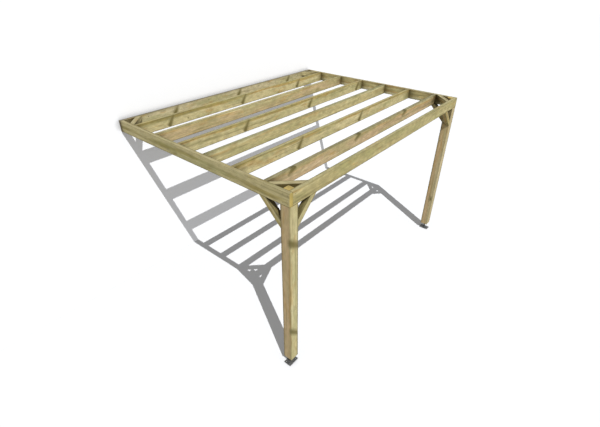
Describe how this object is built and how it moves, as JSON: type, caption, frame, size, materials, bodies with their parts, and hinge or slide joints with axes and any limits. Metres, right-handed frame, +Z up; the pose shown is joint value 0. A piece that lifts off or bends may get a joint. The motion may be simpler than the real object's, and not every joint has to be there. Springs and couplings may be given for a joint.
{
  "type": "wall-mounted pergola",
  "caption": "Open timber pergola, held by a wall plate at the back and by notched posts at the front, with level rafters, knee and corner braces and dark metal post bases.",
  "frame": {"origin": "on the wall face, at mid width and at mid height of the wall plate", "axes": "+X along the wall to the right, +Y into the wall, +Z up"},
  "size_m": [4.015, 3.015, 2.466],
  "materials": {
    "board_timber": "planed, pressure-treated softwood with a green tint, knots and long grain",
    "rafter_timber": "planed, pressure-treated softwood with a pinkish heart and dark spike knots",
    "post_timber": "planed, pressure-treated softwood with yellow end grain",
    "brace_timber": "planed, pressure-treated softwood, mitred at both ends",
    "base_metal": "dark grey, satin, lightly dusty"
  },
  "bodies": {
    "root": {"wall_plate": "board_timber", "left_beam": "board_timber", "right_beam": "board_timber", "front_beam": "board_timber", "rafter_1": "rafter_timber", "rafter_2": "rafter_timber", "rafter_3": "rafter_timber", "rafter_4": "rafter_timber", "rafter_5": "rafter_timber", "rafter_6": "rafter_timber", "left_post": "post_timber", "right_post": "post_timber", "left_side_knee_brace": "brace_timber", "left_front_knee_brace": "brace_timber", "right_side_knee_brace": "brace_timber", "right_front_knee_brace": "brace_timber", "front_left_corner_brace": "brace_timber", "front_right_corner_brace": "brace_timber", "wall_left_corner_brace": "brace_timber", "wall_right_corner_brace": "brace_timber", "left_base_plate": "base_metal", "left_base_stem": "base_metal", "left_base_cap": "base_metal", "right_base_plate": "base_metal", "right_base_stem": "base_metal", "right_base_cap": "base_metal"}
  },
  "joints": []
}
